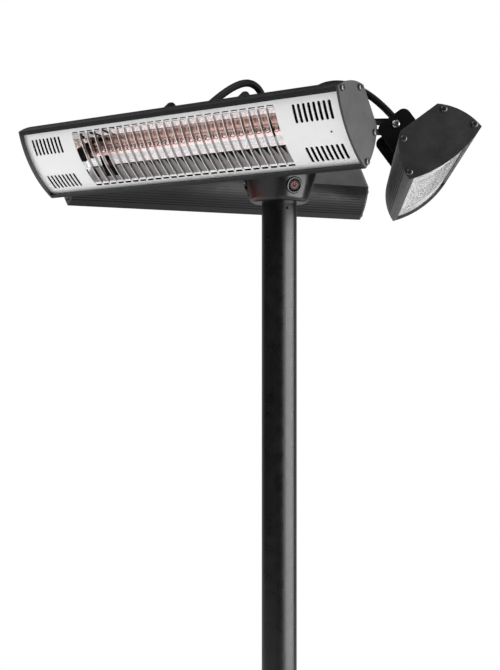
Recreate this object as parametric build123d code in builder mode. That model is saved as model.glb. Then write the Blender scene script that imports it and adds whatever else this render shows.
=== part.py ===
from build123d import *
from math import cos, degrees, pi, radians, sin, tan
import os

os.makedirs("parts", exist_ok=True)

# Infrared patio heater tower. Origin: centre of the base on the ground, +Z up, front head faces -Y.

# ---- driving dimensions, millimetres ----
pivot_height = 2080        # tilt axes above the ground
pivot_radius = 163         # tilt axes from the axis of the pole
heads = {"front": (-90, 37), "right": (30, 54), "left": (150, 36)}   # heading, rest tilt in degrees
lead_crests = {"front": 59, "right": 70, "left": 59}                 # top of each lead above the tilt axis

head_length = 505          # over the two end plates
back_depth = 33            # flat back from the tilt axis
front_depth = 96.5         # crown of the bowed front from the tilt axis
front_radius = 145
side_radius = 78           # bowed top and bottom of the section
side_centre = (91, 25)     # depth, and distance past the middle line
wall = 2
end_plate_thickness = 3
face_recess = 5            # face sheet behind the rim
face_sheet = 1.2
face_half_height = 49.8
mouth_half_height = 47.5   # clear opening between the rims
screw_points = [(43, 29.5), (43, -29.5), (79.5, 47.5), (79.5, -47.5)]

slot_count = 25
slot_pitch = 12.95
slot_width = 11.9
slot_length = 82
vent_count = 8
vent_pitch = 6.9
vent_width = 3.2
vent_length = 22
vent_offset = (211, 27)    # middle of a vent group from the middle of the face

lamp_depth = 64
lamp_diameter = 14

ear_offset = 62            # outer face of each yoke ear from the middle of the head
ear_half_width = 25
ear_reach = 13             # ear beyond the tilt axis
plate = 3                  # yoke, arm and lid sheet
pivot_shoulder = 8
pivot_thread = 6
running_clearance = 0.05

arm_underside = 6          # above the tilt axis
hub_height = 102
hub_top_radius = 72
hub_bottom_radius = 41
hub_edge_radius = 8
hub_wall = 4
switch_drop = 84           # switch centre below the arms' underside
switch_bezel = 24
switch_barrel = 19
cap_diameter = 15.6
cap_travel = 2

pole_diameter = 50
pole_wall = 2
spigot_length = 60
gland_thread = 16
gland_flats = 20
lead_diameter = 10
gland_radius = 36          # lead outlets from the axis of the hub
lead_offset = 13           # lead entry above the tilt axis, in the head's own frame

base_diameter = 550
base_thickness = 10
foot_height = 12
socket_height = 90

# ---- worked-out levels and planes ----
head_half = head_length / 2
housing_half = head_half - end_plate_thickness
arm_level = pivot_height + arm_underside
lid_level = arm_level - plate
hub_bottom = lid_level - hub_height
base_top = foot_height + base_thickness
pole_top = hub_bottom
section = Plane(origin=(0, 0, 0), x_dir=(0, 0, 1), z_dir=(-1, 0, 0))      # depth, height
lengthwise = Plane(origin=(0, 0, 0), x_dir=(0, 0, 1), z_dir=(0, 1, 0))    # depth, place along the head


def head_plane(heading, tilt):
    """Frame of a head: X along it, Y up its face, Z out of its face, origin on its tilt axis."""
    outward = Vector(cos(radians(heading)), sin(radians(heading)), 0)
    along = Vector(-outward.Y, outward.X, 0)
    normal = outward * cos(radians(tilt)) - Vector(0, 0, sin(radians(tilt)))
    return Plane(origin=outward * pivot_radius + Vector(0, 0, pivot_height), x_dir=along, z_dir=normal)


def head_section(inset=0, recess=0):
    """Section of the head: flat back, two bowed sides and a bowed front."""
    with BuildSketch() as area:
        with Locations((back_depth + inset, 0)):
            Rectangle(front_depth, 2 * front_depth, align=(Align.MIN, Align.CENTER))
        for side in (1, -1):
            with Locations((side_centre[0], -side * side_centre[1])):
                Circle(side_radius - inset, mode=Mode.INTERSECT)
        with Locations((front_depth - front_radius, 0)):
            Circle(front_radius - recess, mode=Mode.INTERSECT)
    return area.sketch


def face_band(outer_recess, inner_recess, half_height):
    """Bowed strip that runs parallel to the head's front."""
    with BuildSketch() as strip:
        with Locations((front_depth - front_radius, 0)):
            Circle(front_radius - outer_recess)
            Circle(front_radius - inner_recess, mode=Mode.SUBTRACT)
        with Locations((back_depth, 0)):
            Rectangle(front_depth, 2 * half_height, align=(Align.MIN, Align.CENTER), mode=Mode.INTERSECT)
    return strip.sketch


def write(solid, name):
    solid.label = name
    export_step(solid, f"parts/{name}.step")


# ---- housing: extruded channel with ribbed sides, screw ports and two rims that hold the face ----
groove_count = 9
groove_pitch = 4.4
groove_width = 1.8
groove_depth = 1.0
groove_middle = 115.5      # degrees round the side's own centre
port_radius = 4
port_bore_radius = 1.7
mouth_overcut = 1
groove_span = degrees(groove_pitch / side_radius) * (groove_count - 1)

with BuildPart() as housing:
    with BuildSketch(section):
        add(head_section())
        add(head_section(wall, face_recess + face_sheet), mode=Mode.SUBTRACT)
        with Locations(screw_points):
            Circle(port_radius)
            Circle(port_bore_radius, mode=Mode.SUBTRACT)
        add(face_band(face_recess, 2 * face_recess, face_half_height), mode=Mode.SUBTRACT)
        add(face_band(-mouth_overcut, face_recess, mouth_half_height), mode=Mode.SUBTRACT)
        for side in (1, -1):
            with Locations((side_centre[0], -side * side_centre[1])):
                with PolarLocations(side_radius, groove_count, side * (groove_middle - groove_span / 2),
                                    side * groove_span, endpoint=True):
                    Rectangle(2 * groove_depth, groove_width, mode=Mode.SUBTRACT)
    extrude(amount=housing_half, both=True)

# ---- end plates: same outline as the extrusion, on screws into its ports ----
screw_head_diameter = 8.5
screw_head_height = 2.6
screw_length = 12

with BuildPart() as end_plates:
    for side in (1, -1):
        with BuildSketch(section.offset(-side * (housing_half + end_plate_thickness / 2))):
            add(head_section())
            with Locations(screw_points):
                Circle(port_bore_radius, mode=Mode.SUBTRACT)
        extrude(amount=end_plate_thickness / 2, both=True)

with BuildPart() as end_screws:
    for side in (1, -1):
        with BuildSketch(section.offset(-side * head_half)):
            with Locations(screw_points):
                Circle(port_bore_radius)
        extrude(amount=side * screw_length)
        with BuildSketch(section.offset(-side * head_half)):
            with Locations(screw_points):
                Circle(screw_head_diameter / 2)
        extrude(amount=-side * screw_head_height)

# ---- face: bowed sheet with the lamp's guard slots and four groups of vents ----
with BuildPart() as face_grille:
    with BuildSketch(section):
        add(face_band(face_recess, face_recess + face_sheet, face_half_height))
    extrude(amount=housing_half, both=True)
    with BuildSketch(Plane.XY.offset(back_depth)):
        with GridLocations(slot_pitch, 0, slot_count, 1):
            Rectangle(slot_width, slot_length)
        with GridLocations(2 * vent_offset[0], 2 * vent_offset[1], 2, 2):
            with GridLocations(vent_pitch, 0, vent_count, 1):
                Rectangle(vent_width, vent_length)
    extrude(amount=front_depth, mode=Mode.SUBTRACT)

# ---- lamp: closed quartz tube in two ceramic holders, with its filament inside ----
trough_rim = (81, 39.5)    # depth and half height of the reflector's profile
trough_fold = (67, 21.7)
trough_floor = (47, 10)
trough_lengths = (186, 160)   # half lengths at the rim and at the floor
trough_sheet = 1
trough_flange = 3.6
holder_end = 184           # outer face of each holder from the middle of the head
holder_length = 12
holder_height = 18
sleeve_length = 12
lamp_seat = 4              # of the lamp's end inside a holder's block
lamp_half = holder_end - holder_length + lamp_seat
quartz = 1
filament_diameter = 3
lamp_axis = Plane(origin=(0, 0, lamp_depth), x_dir=(0, 1, 0), z_dir=(1, 0, 0))

with BuildPart() as lamp_tube:
    with BuildSketch(lamp_axis):
        Circle(lamp_diameter / 2)
    extrude(amount=lamp_half, both=True)
    with BuildSketch(lamp_axis):
        Circle(lamp_diameter / 2 - quartz)
    extrude(amount=lamp_half - 4 * quartz, both=True, mode=Mode.SUBTRACT)

with BuildPart() as filament:
    with BuildSketch(lamp_axis):
        Circle(filament_diameter / 2)
    extrude(amount=lamp_half - 4 * quartz, both=True)

with BuildPart() as holder_blanks:
    for side in (1, -1):
        with BuildSketch(lamp_axis.offset(side * holder_end)):
            Rectangle(holder_height, holder_height)
        extrude(amount=-side * holder_length)
        with BuildSketch(lamp_axis.offset(side * (holder_end - holder_length))):
            Circle(holder_height / 2)
        extrude(amount=-side * sleeve_length)

with BuildPart() as lamp_holders:
    add(holder_blanks.part)
    with BuildSketch(lamp_axis):
        Circle(lamp_diameter / 2)
    extrude(amount=lamp_half, both=True, mode=Mode.SUBTRACT)

# ---- reflector: folded bright trough with sloping ends, windows for the holders and two standoffs ----
standoff_offset = 110
standoff = (8, 16)


def both_sides(half):
    """Closed outline from its half on one side of the first axis."""
    return half + [(depth, -reach) for depth, reach in reversed(half)]


def trough(grow):
    """Inside of the trough, or its outside when it is grown by the sheet's thickness."""
    with BuildPart() as body:
        with BuildSketch(section):
            Polygon(*both_sides([trough_rim, trough_fold, trough_floor]), align=None)
            if grow:
                offset(amount=grow, kind=Kind.INTERSECTION)
        extrude(amount=trough_lengths[0] + grow, both=True)
        with BuildSketch(lengthwise):
            Polygon(*both_sides([(trough_rim[0], trough_lengths[0]), (trough_floor[0], trough_lengths[1])]),
                    align=None)
            if grow:
                offset(amount=grow, kind=Kind.INTERSECTION)
        extrude(amount=trough_rim[1] + grow, both=True, mode=Mode.INTERSECT)
    return body.part


with BuildPart() as reflector:
    add(trough(trough_sheet))
    with BuildSketch(Plane.XY.offset(trough_rim[0])):
        Rectangle(2 * (trough_lengths[0] + trough_flange), 2 * (trough_rim[1] + trough_flange))
    extrude(amount=-trough_sheet)
    add(trough(0), mode=Mode.SUBTRACT)
    split(bisect_by=Plane.XY.offset(trough_rim[0]), keep=Keep.BOTTOM)
    with BuildSketch(Plane.XY.offset(back_depth + wall)):
        with GridLocations(2 * standoff_offset, 0, 2, 1):
            Rectangle(*standoff)
    extrude(amount=trough_floor[0] - trough_sheet - back_depth - wall)
    add(holder_blanks.part, mode=Mode.SUBTRACT)

# ---- terminal block on the housing's back wall, past the end of the trough ----
terminal_place = (222, 0)
terminal_bed = (38, 22)
terminal_bed_height = 9
terminal_pole = (9, 18)
terminal_pole_height = 6
terminal_pitch = 12

with BuildPart() as terminal_block:
    with BuildSketch(Plane.XY.offset(back_depth + wall)):
        with Locations(terminal_place):
            Rectangle(*terminal_bed)
    extrude(amount=terminal_bed_height)
    with BuildSketch(Plane.XY.offset(back_depth + wall + terminal_bed_height)):
        with Locations(terminal_place):
            with GridLocations(terminal_pitch, 0, 3, 1):
                Rectangle(*terminal_pole)
    extrude(amount=terminal_pole_height)

# ---- yoke: folded U with two ears, screwed to the housing's back ----
yoke_screw_grid = (88, 26)
yoke_corner = 10
gland_gap = 32
yoke_screw_radius = 2.5
yoke_screw_head = (4.5, 3)   # radius and height
yoke_screw_grip = 4        # thread inside the housing

with BuildPart() as yoke:
    with BuildSketch(Plane.XY.offset(back_depth - plate)):
        Rectangle(2 * ear_offset, 2 * ear_half_width)
        with Locations((0, lead_offset)):
            Rectangle(gland_gap, gland_gap, mode=Mode.SUBTRACT)
        with GridLocations(*yoke_screw_grid, 2, 2):
            Circle(yoke_screw_radius, mode=Mode.SUBTRACT)
    extrude(amount=plate)
    for side in (1, -1):
        with BuildSketch(Plane(origin=(side * ear_offset, 0, 0), x_dir=(0, 1, 0), z_dir=(side, 0, 0))):
            with Locations((0, side * (back_depth - ear_reach) / 2)):
                Rectangle(2 * ear_half_width, back_depth + ear_reach)
        extrude(amount=-plate)
    fillet(yoke.edges().filter_by(Axis.X).group_by(Axis.Z)[0], yoke_corner)
    with BuildSketch(Plane.YZ):
        Circle(pivot_shoulder / 2 + running_clearance)
    extrude(amount=ear_offset, both=True, mode=Mode.SUBTRACT)

with BuildPart() as yoke_screws:
    with BuildSketch(Plane.XY.offset(back_depth - plate)):
        with GridLocations(*yoke_screw_grid, 2, 2):
            Circle(yoke_screw_head[0])
    extrude(amount=-yoke_screw_head[1])
    with BuildSketch(Plane.XY.offset(back_depth - plate)):
        with GridLocations(*yoke_screw_grid, 2, 2):
            Circle(yoke_screw_radius)
    extrude(amount=plate + wall + yoke_screw_grip)

# ---- strain relief in the housing's back, inside the yoke's gap ----
head_gland_length = 16
gland_hex_height = 5
gland_nut_height = 4
gland_taper = 12           # degrees

with BuildPart() as head_gland:
    with BuildSketch(Plane.XY.offset(back_depth)):
        with Locations((0, lead_offset)):
            RegularPolygon(gland_flats / 2, 6, major_radius=False)
    extrude(amount=-gland_hex_height)
    with BuildSketch(Plane.XY.offset(back_depth - gland_hex_height)):
        with Locations((0, lead_offset)):
            Circle(gland_flats / 2 - 1)
    extrude(amount=gland_hex_height - head_gland_length, taper=gland_taper)
    with BuildSketch(Plane.XY.offset(back_depth)):
        with Locations((0, lead_offset)):
            Circle(gland_thread / 2)
    extrude(amount=wall)
    with BuildSketch(Plane.XY.offset(back_depth + wall)):
        with Locations((0, lead_offset)):
            RegularPolygon(gland_flats / 2, 6, major_radius=False)
    extrude(amount=gland_nut_height)

# The housing's back wall is open for the strain relief and the yoke's screws.
with BuildPart() as drilled_housing:
    add(housing.part)
    with BuildSketch(Plane.XY.offset(back_depth)):
        with Locations((0, lead_offset)):
            Circle(gland_thread / 2)
        with GridLocations(*yoke_screw_grid, 2, 2):
            Circle(yoke_screw_radius)
    extrude(amount=wall, mode=Mode.SUBTRACT)

# ---- arm: forked sheet bolted to the hub's lid, its prongs folded down into two pivot tabs ----
# Arm frame: X along the head, Y away from the pole, Z up, origin on the pole's axis at the tilt axis.
arm_tip = pivot_radius + 12
tab_depth = 12
tab_length = 24
tab_corner = 8
tab_face = ear_offset - plate - 1
fork_gap = (44, 62)
arm_root = (24, 36)        # distance from the pole's axis, half width
arm_shoulder = 62          # where the arm has reached its full width
arm_bolts_at = [(24, 36), (-24, 36), (0, 60)]
bolt_radius = 3
gland_clearance = 13       # radius of the arm's opening round the strain relief

with BuildPart() as arm:
    with BuildSketch(Plane.XY.offset(arm_underside)):
        with BuildLine():
            Polyline((-arm_root[1], arm_root[0]), (arm_root[1], arm_root[0]), (tab_face, arm_shoulder),
                     (tab_face, arm_tip), (-tab_face, arm_tip), (-tab_face, arm_shoulder), close=True)
        make_face()
        with Locations((0, arm_tip)):
            Rectangle(fork_gap[0], 2 * fork_gap[1], mode=Mode.SUBTRACT)
        with Locations((0, gland_radius)):
            Circle(gland_clearance, mode=Mode.SUBTRACT)
        with Locations((0, arm_root[0])):
            Rectangle(2 * gland_clearance, 2 * (gland_radius - arm_root[0]), mode=Mode.SUBTRACT)
        with Locations(arm_bolts_at):
            Circle(bolt_radius, mode=Mode.SUBTRACT)
    extrude(amount=plate)
    for side in (1, -1):
        with BuildSketch(Plane(origin=(side * tab_face, 0, 0), x_dir=(0, 1, 0), z_dir=(side, 0, 0))):
            with Locations((arm_tip - tab_length / 2, side * (arm_underside + plate - tab_depth) / 2)):
                Rectangle(tab_length, arm_underside + plate + tab_depth)
        extrude(amount=-plate)
    fillet(arm.edges().filter_by(Axis.X).group_by(Axis.Z)[0], tab_corner)
    with BuildSketch(Plane(origin=(0, pivot_radius, 0), x_dir=(0, 1, 0), z_dir=(1, 0, 0))):
        Circle(pivot_thread / 2)
    extrude(amount=ear_offset, both=True, mode=Mode.SUBTRACT)

# ---- pivot bolts: shoulder bolts that carry the ears, each with a spacer washer and a round nut ----
bolt_head_diameter = 11.5
bolt_head_height = 4
washer_gap = 0.1
nut_length = 6
head_seat = ear_offset + washer_gap

with BuildPart() as pivot_bolts:
    for side in (1, -1):
        tilt_axis = Plane(origin=(0, pivot_radius, 0), x_dir=(0, 1, 0), z_dir=(side, 0, 0))
        for start, end, outer, inner in (
                (head_seat, head_seat + bolt_head_height, bolt_head_diameter, 0),
                (tab_face, head_seat, pivot_shoulder, 0),
                (tab_face - plate - nut_length, tab_face, pivot_thread, 0),
                (tab_face, ear_offset - plate - washer_gap, bolt_head_diameter, pivot_shoulder),
                (tab_face - plate - nut_length, tab_face - plate, bolt_head_diameter, pivot_thread)):
            with BuildSketch(tilt_axis.offset(start)):
                Circle(outer / 2)
                if inner:
                    Circle(inner / 2, mode=Mode.SUBTRACT)
            extrude(amount=end - start, mode=Mode.ADD)

# ---- hub: cast cone with a flat seat for each switch and a spigot that enters the pole ----
# Hub frame: Z up, origin on the pole's axis at the hub's underside.
hub_flare = (hub_top_radius - hub_bottom_radius) / hub_height
hub_floor = 6
seat_depth = 1.6           # flat seat below the cone
seat_clearance = 0.4       # round each bezel
switch_height = hub_height + plate - switch_drop
switch_seat = hub_bottom_radius + switch_height * hub_flare - seat_depth
switch_headings = (-30, 90, 210)
pad_face = 5               # inner face of the pad that each switch's nut is tightened on
pad_start = 2
pad_margin = 2
spigot_radius = pole_diameter / 2 - pole_wall
spigot_bore_radius = 18
lug_circle = 61
lug_radius = 7.5
lug_height = 10
lid_screw_radius = 2
lid_screw_head = (4, 2.4)   # radius and height
lid_screw_reach = 8        # of a lid screw inside its lug
grub_drop = 9
grub_radius = 2


def switch_plane(heading):
    """Frame of a switch: origin on the middle of its seat, Z out of the hub and square to the cone."""
    around = radians(heading)
    outward = Vector(cos(around), sin(around), -hub_flare).normalized()
    seat = Vector(cos(around) * switch_seat, sin(around) * switch_seat, switch_height)
    return Plane(origin=seat, x_dir=(-sin(around), cos(around), 0), z_dir=outward)


def radial_plane(heading, height, distance=0):
    """Upright plane that looks away from the pole's axis, its origin at that distance from the axis."""
    outward = Vector(cos(radians(heading)), sin(radians(heading)), 0)
    return Plane(origin=outward * distance + Vector(0, 0, height), z_dir=outward)


with BuildPart() as hub:
    with BuildSketch(Plane.XZ):
        with BuildLine():
            Polyline((0, 0), (hub_bottom_radius, 0), (hub_top_radius, hub_height), (0, hub_height),
                     close=True)
        make_face()
    revolve(axis=Axis.Z)
    fillet(hub.edges().group_by(Axis.Z)[0], hub_edge_radius)
    for heading in switch_headings:
        with BuildSketch(switch_plane(heading)):
            Circle(switch_bezel / 2 + seat_clearance)
        extrude(amount=hub_wall, mode=Mode.SUBTRACT)
    with BuildSketch(Plane.XZ):
        with BuildLine():
            Polyline((0, hub_floor), (hub_bottom_radius + hub_floor * hub_flare - hub_wall, hub_floor),
                     (hub_top_radius - hub_wall, hub_height), (0, hub_height), close=True)
        make_face()
    revolve(axis=Axis.Z, mode=Mode.SUBTRACT)
    for heading in switch_headings:
        with BuildSketch(switch_plane(heading).offset(-pad_face)):
            Circle(switch_bezel / 2 + pad_margin)
        extrude(amount=pad_face - pad_start)
    with BuildSketch(Plane.XY.offset(hub_height)):
        with PolarLocations(lug_circle, 3, start_angle=switch_headings[0]):
            Circle(lug_radius)
    extrude(amount=-lug_height)
    with BuildSketch(Plane.XY.offset(-spigot_length)):
        Circle(spigot_radius)
    extrude(amount=spigot_length)
    with BuildSketch(Plane.XY.offset(-spigot_length)):
        Circle(spigot_bore_radius)
    extrude(amount=spigot_length + hub_floor, mode=Mode.SUBTRACT)
    with BuildSketch(Plane.XY.offset(hub_height)):
        with PolarLocations(lug_circle, 3, start_angle=switch_headings[0]):
            Circle(lid_screw_radius)
    extrude(amount=-lid_screw_reach, mode=Mode.SUBTRACT)
    for heading in switch_headings:
        with BuildSketch(switch_plane(heading)):
            Circle(switch_barrel / 2)
        extrude(amount=-2 * pad_face, mode=Mode.SUBTRACT)
        with BuildSketch(radial_plane(heading, -grub_drop)):
            Circle(grub_radius)
        extrude(amount=pole_diameter, mode=Mode.SUBTRACT)

# ---- lid of the hub, which carries the arms, with its screws and the arms' bolts ----
head_headings = [heading for heading, tilt in heads.values()]
bolt_flats = 10
bolt_height = 4
nut_height = 5

with BuildPart() as hub_lid:
    with BuildSketch(Plane.XY.offset(hub_height)):
        Circle(hub_top_radius)
        with PolarLocations(gland_radius, 3, start_angle=head_headings[0]):
            Circle(gland_thread / 2, mode=Mode.SUBTRACT)
        with PolarLocations(lug_circle, 3, start_angle=switch_headings[0]):
            Circle(lid_screw_radius, mode=Mode.SUBTRACT)
        with PolarLocations(0, 3, start_angle=head_headings[0] - 90):
            with Locations(arm_bolts_at):
                Circle(bolt_radius, mode=Mode.SUBTRACT)
    extrude(amount=plate)

lid_top = hub_height + plate
arm_top = lid_top + plate

with BuildPart() as lid_fixings:
    with BuildSketch(Plane.XY.offset(arm_top)):
        with PolarLocations(0, 3, start_angle=head_headings[0] - 90):
            with Locations(arm_bolts_at):
                RegularPolygon(bolt_flats / 2, 6, major_radius=False)
    extrude(amount=bolt_height)
    with BuildSketch(Plane.XY.offset(arm_top)):
        with PolarLocations(0, 3, start_angle=head_headings[0] - 90):
            with Locations(arm_bolts_at):
                Circle(bolt_radius)
    extrude(amount=-2 * plate)
    with BuildSketch(Plane.XY.offset(hub_height)):
        with PolarLocations(0, 3, start_angle=head_headings[0] - 90):
            with Locations(arm_bolts_at):
                RegularPolygon(bolt_flats / 2, 6, major_radius=False)
    extrude(amount=-nut_height)
    with BuildSketch(Plane.XY.offset(lid_top)):
        with PolarLocations(lug_circle, 3, start_angle=switch_headings[0]):
            Circle(lid_screw_head[0])
    extrude(amount=lid_screw_head[1])
    with BuildSketch(Plane.XY.offset(lid_top)):
        with PolarLocations(lug_circle, 3, start_angle=switch_headings[0]):
            Circle(lid_screw_radius)
    extrude(amount=-plate - lid_screw_reach)

# ---- strain reliefs on the lid, where the three leads come out ----
relief_height = 11
relief_taper = 20          # degrees

with BuildPart() as lid_glands:
    with BuildSketch(Plane.XY.offset(lid_top)):
        with PolarLocations(gland_radius, 3, start_angle=head_headings[0]):
            RegularPolygon(gland_flats / 2, 6, major_radius=False)
    extrude(amount=gland_hex_height)
    with BuildSketch(Plane.XY.offset(lid_top + gland_hex_height)):
        with PolarLocations(gland_radius, 3, start_angle=head_headings[0]):
            Circle(gland_flats / 2 - 1)
    extrude(amount=relief_height - gland_hex_height, taper=relief_taper)
    with BuildSketch(Plane.XY.offset(lid_top)):
        with PolarLocations(gland_radius, 3, start_angle=head_headings[0]):
            Circle(gland_thread / 2)
    extrude(amount=-plate)
    with BuildSketch(Plane.XY.offset(hub_height)):
        with PolarLocations(gland_radius, 3, start_angle=head_headings[0]):
            RegularPolygon(gland_flats / 2, 6, major_radius=False)
    extrude(amount=-nut_height)

# ---- terminal block under the lid ----
hub_terminal_bed = (28, 22)
hub_terminal_bed_height = 10
hub_terminal_pole = (7, 18)

with BuildPart() as hub_terminals:
    with BuildSketch(Plane.XY.offset(hub_height)):
        Rectangle(*hub_terminal_bed)
    extrude(amount=-hub_terminal_bed_height)
    with BuildSketch(Plane.XY.offset(hub_height - hub_terminal_bed_height)):
        with GridLocations(terminal_pole[0], 0, 3, 1):
            Rectangle(*hub_terminal_pole)
    extrude(amount=-terminal_pole_height)

# ---- switches: a body with bezel, barrel and nut, and a moving cap, made in the switch's frame ----
bezel_height = 2.6
barrel_length = 28
bezel_edge = 0.8
switch_nut_flats = 22
mouth_edge = (1.4, 0.7)    # slope inside the bezel's rim
cap_length = 4.6
cap_edge = 0.5
cap_sink = 0.8             # cap's face below the bezel's rim
cap_floor_gap = 0.5        # left below a pressed cap
cap_bore_depth = cap_sink + cap_length + cap_travel + cap_floor_gap

with BuildPart() as switch_body:
    Cylinder(switch_bezel / 2, bezel_height, align=(Align.CENTER, Align.CENTER, Align.MIN))
    chamfer(switch_body.edges().group_by(Axis.Z)[-1], bezel_edge)
    Cylinder(switch_barrel / 2, barrel_length, align=(Align.CENTER, Align.CENTER, Align.MAX))
    with BuildSketch(Plane.XY.offset(-pad_face)):
        RegularPolygon(switch_nut_flats / 2, 6, major_radius=False)
    extrude(amount=-nut_height)
    with BuildSketch(Plane.XY.offset(bezel_height)):
        Circle(cap_diameter / 2 + running_clearance)
    extrude(amount=-cap_bore_depth, mode=Mode.SUBTRACT)
    chamfer(switch_body.edges().group_by(Axis.Z)[-1].sort_by(SortBy.RADIUS)[0], *mouth_edge)

with BuildPart() as switch_cap:
    with Locations((0, 0, bezel_height - cap_sink)):
        Cylinder(cap_diameter / 2, cap_length, align=(Align.CENTER, Align.CENTER, Align.MAX))
    chamfer(switch_cap.edges().group_by(Axis.Z)[-1], cap_edge)

with BuildPart() as switch_bodies:
    for heading in switch_headings:
        add(switch_body.part.moved(switch_plane(heading).location))

# ---- pole, its grub screws, and the socket that holds it on the base ----
socket_diameter = 62
flange_diameter = 130
flange_thickness = 8
flange_bolt_circle = 100
flange_bolt_radius = 4
flange_bolt_flats = 13
flange_bolt_height = 5.3
flange_bolt_reach = 17     # below the flange's top
weld_radius = 6
base_edge = 4
socket_screw_height = base_top + 60
socket_screw_radius = 3
grub_recess = 0.5

with BuildPart() as pole:
    with BuildSketch(Plane.XY.offset(base_top)):
        Circle(pole_diameter / 2)
        Circle(spigot_radius, mode=Mode.SUBTRACT)
    extrude(amount=pole_top - base_top)
    for heading in switch_headings:
        with BuildSketch(radial_plane(heading, hub_bottom - grub_drop)):
            Circle(grub_radius)
        extrude(amount=pole_diameter, mode=Mode.SUBTRACT)

with BuildPart() as grub_screws:
    for heading in switch_headings:
        with BuildSketch(radial_plane(heading, hub_bottom - grub_drop, spigot_bore_radius + grub_recess)):
            Circle(grub_radius)
        extrude(amount=pole_diameter / 2 - spigot_bore_radius - 2 * grub_recess)
        with BuildSketch(radial_plane(heading, socket_screw_height, pole_diameter / 2)):
            Circle(socket_screw_radius)
        extrude(amount=(socket_diameter - pole_diameter) / 2 - grub_recess)

with BuildPart() as pole_socket:
    with BuildSketch(Plane.XZ):
        with BuildLine():
            Polyline((pole_diameter / 2, base_top), (flange_diameter / 2, base_top),
                     (flange_diameter / 2, base_top + flange_thickness),
                     (socket_diameter / 2, base_top + flange_thickness),
                     (socket_diameter / 2, base_top + socket_height),
                     (pole_diameter / 2, base_top + socket_height), close=True)
        make_face()
    revolve(axis=Axis.Z)
    weld = pole_socket.edges().filter_by(GeomType.CIRCLE).group_by(Axis.Z)[1].sort_by(SortBy.RADIUS)[0]
    fillet(weld, weld_radius)
    with BuildSketch(Plane.XY.offset(base_top)):
        with PolarLocations(flange_bolt_circle / 2, 4, start_angle=45):
            Circle(flange_bolt_radius)
    extrude(amount=flange_thickness, mode=Mode.SUBTRACT)
    for heading in switch_headings:
        with BuildSketch(radial_plane(heading, socket_screw_height)):
            Circle(socket_screw_radius)
        extrude(amount=socket_diameter, mode=Mode.SUBTRACT)

with BuildPart() as base_plate:
    with BuildSketch(Plane.XY.offset(foot_height)):
        Circle(base_diameter / 2)
        with PolarLocations(flange_bolt_circle / 2, 4, start_angle=45):
            Circle(flange_bolt_radius, mode=Mode.SUBTRACT)
    extrude(amount=base_thickness)
    fillet(base_plate.edges().group_by(Axis.Z)[-1].sort_by(SortBy.RADIUS)[-1], base_edge)

with BuildPart() as flange_bolts:
    with BuildSketch(Plane.XY.offset(base_top + flange_thickness)):
        with PolarLocations(flange_bolt_circle / 2, 4, start_angle=45):
            RegularPolygon(flange_bolt_flats / 2, 6, major_radius=False)
    extrude(amount=flange_bolt_height)
    with BuildSketch(Plane.XY.offset(base_top + flange_thickness)):
        with PolarLocations(flange_bolt_circle / 2, 4, start_angle=45):
            Circle(flange_bolt_radius)
    extrude(amount=-flange_bolt_reach)

# Rubber feet: six near the rim and one under the pole.
foot_circle = 470
foot_diameter = 40         # on the ground
foot_taper = -9            # degrees, wider towards the base

with BuildPart() as base_feet:
    with BuildSketch():
        Circle(foot_diameter / 2)
        with PolarLocations(foot_circle / 2, 6, start_angle=30):
            Circle(foot_diameter / 2)
    extrude(amount=foot_height, taper=foot_taper)


arc_share = 0.96           # of a corner's straight length that its arc takes


def lead(heading, tilt, crest):
    """Rubber lead from the lid up over a crest and down into the back of a head, in two wide arcs."""
    slope = radians(tilt)
    outward = Vector(cos(radians(heading)), sin(radians(heading)), 0)
    mouth = back_depth - head_gland_length
    start_height = arm_underside + relief_height
    end_reach = pivot_radius + mouth * cos(slope) + lead_offset * sin(slope)
    end_height = lead_offset * cos(slope) - mouth * sin(slope)
    knee_reach = end_reach - (crest - end_height) / tan(slope)
    corners = [(gland_radius, start_height), (gland_radius, crest), (knee_reach, crest),
               (end_reach, end_height)]
    points = [outward * reach + Vector(0, 0, pivot_height + height) for reach, height in corners]
    rise = arc_share * (crest - start_height)
    sweep_in = arc_share * (knee_reach - gland_radius - rise) / tan(slope / 2)
    with BuildPart() as tube:
        with BuildLine() as route:
            FilletPolyline(*points, radius=[rise, sweep_in])
        path = route.wire()
        with BuildSketch(Plane(path @ 0, z_dir=path % 0)):
            Circle(lead_diameter / 2)
        sweep()
    ratio = tube.part.volume / (pi * lead_diameter**2 / 4 * path.length)
    print(f"lead at {heading}: radii {rise:.0f} and {sweep_in:.0f} mm, length {path.length:.0f} mm, "
          f"ratio {ratio:.4f}")
    return tube.part


# ---- placing: three heads, three arms and leads, three switches, and the tower ----
head_parts = {"housing": drilled_housing, "end_plates": end_plates, "end_screws": end_screws,
              "face_grille": face_grille, "reflector": reflector, "lamp_tube": lamp_tube,
              "filament": filament, "lamp_holders": lamp_holders, "terminal_block": terminal_block,
              "yoke": yoke, "yoke_screws": yoke_screws, "head_gland": head_gland}
arm_parts = {"arm": arm, "pivot_bolts": pivot_bolts}
hub_parts = {"hub": hub, "hub_lid": hub_lid, "lid_fixings": lid_fixings, "lid_glands": lid_glands,
             "hub_terminals": hub_terminals, "switch_bodies": switch_bodies}
tower_parts = {"pole": pole, "grub_screws": grub_screws, "pole_socket": pole_socket,
               "base_plate": base_plate, "flange_bolts": flange_bolts, "base_feet": base_feet}

for side, (heading, tilt) in heads.items():
    for name, piece in head_parts.items():
        write(piece.part.moved(head_plane(heading, tilt).location), f"{name}_{side}")
    for name, piece in arm_parts.items():
        write(piece.part.moved(Location((0, 0, pivot_height), (0, 0, heading - 90))), f"{name}_{side}")
    write(lead(heading, tilt, lead_crests[side]), f"lead_{side}")

for name, piece in hub_parts.items():
    write(piece.part.moved(Location((0, 0, hub_bottom))), name)

for number, heading in enumerate(switch_headings, start=1):
    place = Location((0, 0, hub_bottom)) * switch_plane(heading).location
    write(switch_cap.part.moved(place), f"switch_cap_{number}")

for name, piece in tower_parts.items():
    write(piece.part, name)
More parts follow.
